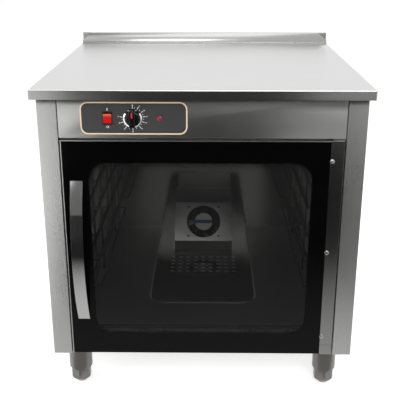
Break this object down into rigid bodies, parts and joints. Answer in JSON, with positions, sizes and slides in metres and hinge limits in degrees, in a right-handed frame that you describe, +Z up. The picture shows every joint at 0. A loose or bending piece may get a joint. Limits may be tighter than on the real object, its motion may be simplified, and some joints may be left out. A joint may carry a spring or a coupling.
{
  "type": "proofing cabinet",
  "caption": "Undercounter proofing cabinet: heated chamber with glass door, wire tray racks and a tilted fan, under a worktop with a rear upstand, on levelling feet.",
  "frame": {"origin": "centre of the whole object's footprint, on the floor", "axes": "+Z up through the worktop; the front with the door faces -Y; +X is to the right seen from the front"},
  "size_m": [0.853, 0.875, 0.902],
  "materials": {
    "black_plastic": "satin black moulded plastic",
    "bright_fixings": "bright plated steel",
    "bright_stainless": "bright annealed, nearly mirror-like stainless",
    "bright_wire": "electropolished wire",
    "bush_plastic": "natural acetal",
    "control_print": "dark grey print with a thin copper line",
    "copper_probe": "drawn copper",
    "fan_plastic": "matte moulded plastic",
    "foot_plastic": "satin stainless foot",
    "heater_sheath": "oxidised steel sheath",
    "lamp_red": "dark red translucent lens",
    "magnet_rubber": "matte black casing",
    "mineral_wool": "fibrous mineral wool",
    "red_plastic": "glossy translucent red",
    "satin_stainless": "satin brushed stainless sheet",
    "silicone": "matte silicone",
    "tinted_glass": "grey tinted toughened glass with a black printed border"
  },
  "bodies": {
    "cabinet": {"back_panel": "satin_stainless", "base_panel": "satin_stainless", "cable_gland": "black_plastic", "catch_magnet": "magnet_rubber", "chamber_back": "bright_stainless", "chamber_ceiling": "bright_stainless", "chamber_floor": "bright_stainless", "chamber_frame": "satin_stainless", "chamber_wall_left": "bright_stainless", "chamber_wall_right": "bright_stainless", "control_fascia": "satin_stainless", "control_plate": "control_print", "fan_console": "bright_stainless", "fan_frame": "fan_plastic", "fan_screws": "bright_fixings", "heater_clips": "satin_stainless", "heater_cover": "bright_stainless", "heater_element": "heater_sheath", "hinge_bracket_lower": "satin_stainless", "hinge_bracket_upper": "satin_stainless", "insulation_back": "mineral_wool", "insulation_floor": "mineral_wool", "insulation_left": "mineral_wool", "insulation_right": "mineral_wool", "insulation_top": "mineral_wool", "lamp_body": "black_plastic", "lamp_lens": "lamp_red", "leg_sleeve_front_left": "satin_stainless", "leg_sleeve_front_right": "satin_stainless", "leg_sleeve_rear_left": "satin_stainless", "leg_sleeve_rear_right": "satin_stainless", "rack_left": "bright_wire", "rack_right": "bright_wire", "side_panel_left": "satin_stainless", "side_panel_right": "satin_stainless", "switch_housing": "black_plastic", "terminal_block": "black_plastic", "thermostat_body": "black_plastic", "thermostat_probe": "copper_probe", "upstand_screws": "bright_fixings", "upstand_strip": "satin_stainless", "worktop": "satin_stainless"},
    "door": {"door_frame": "satin_stainless", "door_glass": "tinted_glass", "hinge_strip": "satin_stainless", "strip_screws": "bright_fixings", "handle": "bright_stainless", "handle_studs": "bright_fixings", "hinge_bush_lower": "bush_plastic", "hinge_bush_upper": "bush_plastic", "catch_strike": "bright_fixings", "door_gasket": "silicone"},
    "power_switch": {"rocker": "red_plastic"},
    "dial": {"knob": "black_plastic", "thermostat_shaft": "bright_fixings"},
    "fan": {"fan_impeller": "fan_plastic"},
    "foot_front_left": {"leg_foot_front_left": "foot_plastic"},
    "foot_front_right": {"leg_foot_front_right": "foot_plastic"},
    "foot_rear_left": {"leg_foot_rear_left": "foot_plastic"},
    "foot_rear_right": {"leg_foot_rear_right": "foot_plastic"}
  },
  "joints": [
    {"name": "door_hinge", "type": "hinge", "parent": "cabinet", "child": "door", "pos_m": [0.3475, -0.3845, 0.42525], "axis": [0, 0, 1], "range_deg": [0, 115]},
    {"name": "power_switch_rock", "type": "hinge", "parent": "cabinet", "child": "power_switch", "pos_m": [-0.2375, -0.392, 0.7906], "axis": [-1, 0, 0], "range_deg": [0, 24]},
    {"name": "dial_turn", "type": "hinge", "parent": "cabinet", "child": "dial", "pos_m": [-0.174, -0.4055, 0.7906], "axis": [0, 1, 0], "range_deg": [0, 285]},
    {"name": "fan_spin", "type": "hinge", "parent": "cabinet", "child": "fan", "pos_m": [0, 0.19, 0.287], "axis": [0, -0.7913, 0.6114], "continuous": true},
    {"name": "foot_front_left_height", "type": "slide", "parent": "cabinet", "child": "foot_front_left", "axis": [0, 0, -1], "range_m": [0, 0.025]},
    {"name": "foot_front_right_height", "type": "slide", "parent": "cabinet", "child": "foot_front_right", "axis": [0, 0, -1], "range_m": [0, 0.025]},
    {"name": "foot_rear_left_height", "type": "slide", "parent": "cabinet", "child": "foot_rear_left", "axis": [0, 0, -1], "range_m": [0, 0.025]},
    {"name": "foot_rear_right_height", "type": "slide", "parent": "cabinet", "child": "foot_rear_right", "axis": [0, 0, -1], "range_m": [0, 0.025]}
  ]
}
